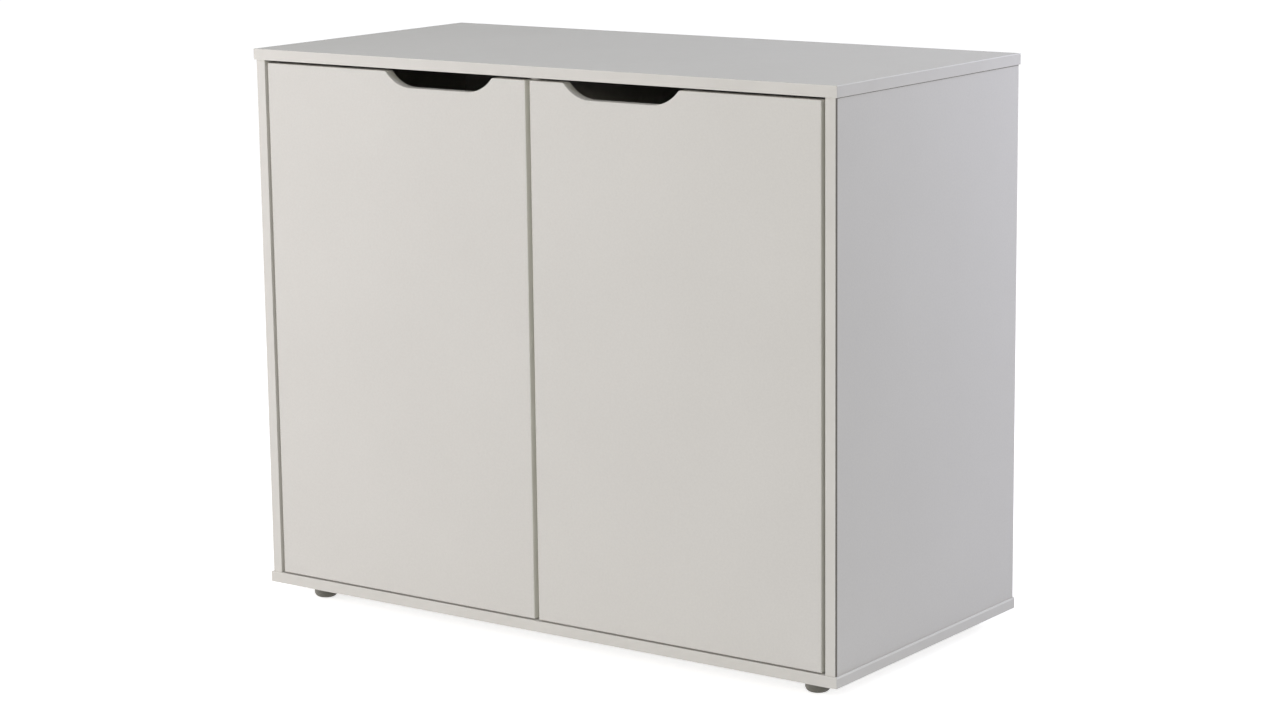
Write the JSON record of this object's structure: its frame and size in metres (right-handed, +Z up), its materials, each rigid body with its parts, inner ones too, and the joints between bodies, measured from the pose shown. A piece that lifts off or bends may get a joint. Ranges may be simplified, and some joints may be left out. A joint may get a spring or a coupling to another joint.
{
  "type": "two-door cupboard",
  "caption": "Low white board cupboard with inset hinged doors, scooped finger cut-outs in their top edges, shelves beside a middle partition, and short round feet.",
  "frame": {"origin": "on the floor, under the middle of the top panel", "axes": "+X to the cupboard's right as seen from the front, +Y from the front to the back, +Z up"},
  "size_m": [1, 0.48, 0.825],
  "materials": {
    "melamine_board": "matt warm white melamine facing on chipboard",
    "edge_band": "satin warm white edge band",
    "hardboard": "thin hardboard, painted white inside",
    "white_plastic": "white moulded plastic",
    "foot_plastic": "grey moulded plastic",
    "plated_steel": "nickel-plated pressed steel",
    "zinc_casting": "dull zinc casting",
    "beech": "plain fluted beech"
  },
  "bodies": {
    "carcass": {"top_panel": "melamine_board", "top_front_edging": "edge_band", "top_end_edging": "edge_band", "bottom_panel": "melamine_board", "bottom_front_edging": "edge_band", "bottom_end_edging": "edge_band", "left_side_panel": "melamine_board", "left_side_edging": "edge_band", "right_side_panel": "melamine_board", "right_side_edging": "edge_band", "partition_panel": "melamine_board", "partition_edging": "edge_band", "left_back_panel": "hardboard", "right_back_panel": "hardboard", "back_joining_strip": "white_plastic", "left_shelf": "melamine_board", "right_shelf": "melamine_board", "shelf_edging": "edge_band", "shelf_pins": "plated_steel", "cam_locks": "zinc_casting", "cam_bolts": "plated_steel", "dowels": "beech", "front_left_foot": "foot_plastic", "front_right_foot": "foot_plastic", "rear_left_foot": "foot_plastic", "rear_right_foot": "foot_plastic", "foot_screws": "plated_steel", "left_lower_hinge_arm": "plated_steel", "left_lower_hinge_plate": "plated_steel", "left_upper_hinge_arm": "plated_steel", "left_upper_hinge_plate": "plated_steel", "right_lower_hinge_arm": "plated_steel", "right_lower_hinge_plate": "plated_steel", "right_upper_hinge_arm": "plated_steel", "right_upper_hinge_plate": "plated_steel", "hinge_plate_screws": "plated_steel", "hinge_arm_screws": "plated_steel", "left_catch": "white_plastic", "right_catch": "white_plastic", "catch_screws": "plated_steel"},
    "left_door": {"left_door_panel": "melamine_board", "left_door_top_edging": "edge_band", "left_door_hinge_edging": "edge_band", "left_door_meeting_edging": "edge_band", "left_door_bottom_edging": "edge_band", "left_door_screws": "plated_steel", "left_hinge_pins": "plated_steel", "left_lower_hinge_cup": "plated_steel", "left_upper_hinge_cup": "plated_steel", "left_strike_plate": "plated_steel"},
    "right_door": {"right_door_panel": "melamine_board", "right_door_top_edging": "edge_band", "right_door_hinge_edging": "edge_band", "right_door_meeting_edging": "edge_band", "right_door_bottom_edging": "edge_band", "right_door_screws": "plated_steel", "right_hinge_pins": "plated_steel", "right_lower_hinge_cup": "plated_steel", "right_upper_hinge_cup": "plated_steel", "right_strike_plate": "plated_steel"}
  },
  "joints": [
    {"name": "left_door_hinge", "type": "hinge", "parent": "carcass", "child": "left_door", "pos_m": [-0.463, -0.229, 0.424], "axis": [0, 0, -1], "range_deg": [0, 95]},
    {"name": "right_door_hinge", "type": "hinge", "parent": "carcass", "child": "right_door", "pos_m": [0.463, -0.229, 0.424], "axis": [0, 0, 1], "range_deg": [0, 95]}
  ]
}
